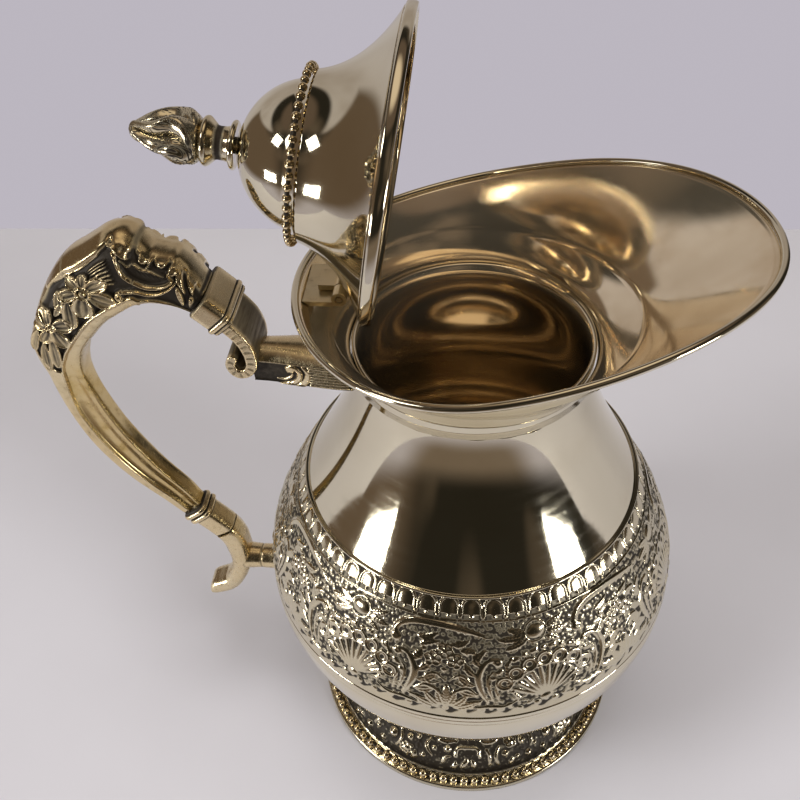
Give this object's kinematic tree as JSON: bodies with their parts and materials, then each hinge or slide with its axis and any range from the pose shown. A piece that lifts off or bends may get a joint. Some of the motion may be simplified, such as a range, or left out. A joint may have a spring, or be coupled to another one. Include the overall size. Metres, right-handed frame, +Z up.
{
  "type": "lidded water jug",
  "caption": "Brass water jug: raised pear-shaped body, flared helmet spout, cast scroll handle, domed foot and a bell lid with a flame finial on a rear hinge.",
  "frame": {"origin": "middle of the overall footprint, on the plane the foot stands on", "axes": "+Z up, +X towards the spout, -X towards the handle, +Y to the left of someone facing the way the spout pours"},
  "size_m": [0.2088, 0.1394, 0.2659],
  "materials": {
    "body_brass": "polished, pale",
    "chased_brass": "chased relief, darkened in the recesses",
    "trim_brass": "polished beads and wires",
    "handle_brass": "cast, brushed and darkened in the recesses",
    "hinge_brass": "filed, dull"
  },
  "bodies": {
    "jug": {"body_shell": "body_brass", "collar_spout": "body_brass", "rim_wire": "trim_brass", "foot_casting": "chased_brass", "foot_base_ring": "trim_brass", "foot_bead_ring": "trim_brass", "handle_bracket": "handle_brass", "handle_upper_scroll": "handle_brass", "upper_ferrule": "handle_brass", "handle_grip": "handle_brass", "lower_ferrule": "handle_brass", "handle_lower_scroll": "handle_brass", "handle_stem": "handle_brass", "hinge_body_leaf": "hinge_brass", "hinge_pin": "hinge_brass"},
    "lid": {"lid_bell": "body_brass", "lid_rim_band": "trim_brass", "lid_bead_ring": "trim_brass", "finial": "chased_brass", "finial_washer": "trim_brass", "finial_nut": "hinge_brass", "hinge_lid_leaf": "hinge_brass"}
  },
  "joints": [
    {"name": "lid_hinge", "type": "hinge", "parent": "jug", "child": "lid", "pos_m": [-0.00858, 0, 0.1938], "axis": [0, 1, 0], "range_deg": [0, 80.5]}
  ]
}
